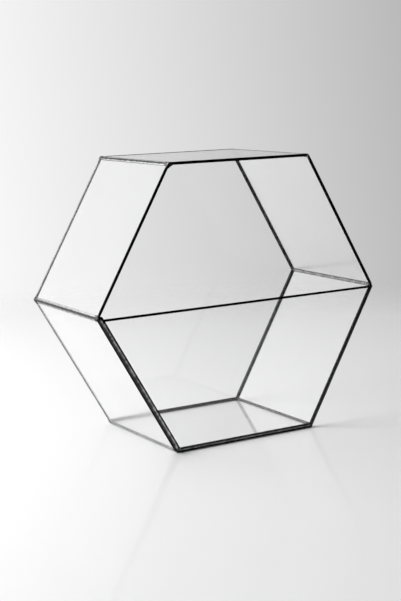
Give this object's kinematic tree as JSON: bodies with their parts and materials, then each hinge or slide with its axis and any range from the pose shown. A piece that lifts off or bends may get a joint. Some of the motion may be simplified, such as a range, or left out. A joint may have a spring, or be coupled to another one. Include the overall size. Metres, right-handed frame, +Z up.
{
  "type": "hexagonal glass terrarium",
  "caption": "Open-fronted hexagonal glass terrarium: clear flat panes joined by dark soldered seams, standing on a flat side, with an opening in its front to plant through.",
  "frame": {"origin": "on the table, under the middle of the terrarium", "axes": "+X to the right along the hexagon's width, +Y from the open front to the back, +Z up"},
  "size_m": [0.3542, 0.1567, 0.3068],
  "materials": {
    "glass": "clear flat glass, polished, 2 mm",
    "foil": "black-backed copper foil",
    "solder": "solder with a black patina, waxed, half gloss"
  },
  "bodies": {
    "root": {"foil_back": "foil", "foil_bottom": "foil", "foil_lower_front": "foil", "foil_lower_left": "foil", "foil_lower_right": "foil", "foil_top": "foil", "foil_upper_left": "foil", "foil_upper_right": "foil", "knot_back_bottom_left": "solder", "knot_back_bottom_right": "solder", "knot_back_left": "solder", "knot_back_right": "solder", "knot_back_top_left": "solder", "knot_back_top_right": "solder", "knot_front_bottom_left": "solder", "knot_front_bottom_right": "solder", "knot_front_left": "solder", "knot_front_right": "solder", "knot_front_top_left": "solder", "knot_front_top_right": "solder", "pane_back": "glass", "pane_bottom": "glass", "pane_lower_front": "glass", "pane_lower_left": "glass", "pane_lower_right": "glass", "pane_top": "glass", "pane_upper_left": "glass", "pane_upper_right": "glass", "seam_back_bottom": "solder", "seam_back_lower_left": "solder", "seam_back_lower_right": "solder", "seam_back_top": "solder", "seam_back_upper_left": "solder", "seam_back_upper_right": "solder", "seam_cross_bottom_left": "solder", "seam_cross_bottom_right": "solder", "seam_cross_left": "solder", "seam_cross_right": "solder", "seam_cross_top_left": "solder", "seam_cross_top_right": "solder", "seam_front_bottom": "solder", "seam_front_lower_left": "solder", "seam_front_lower_right": "solder", "seam_front_middle": "solder", "seam_front_top": "solder", "seam_front_upper_left": "solder", "seam_front_upper_right": "solder"}
  },
  "joints": []
}
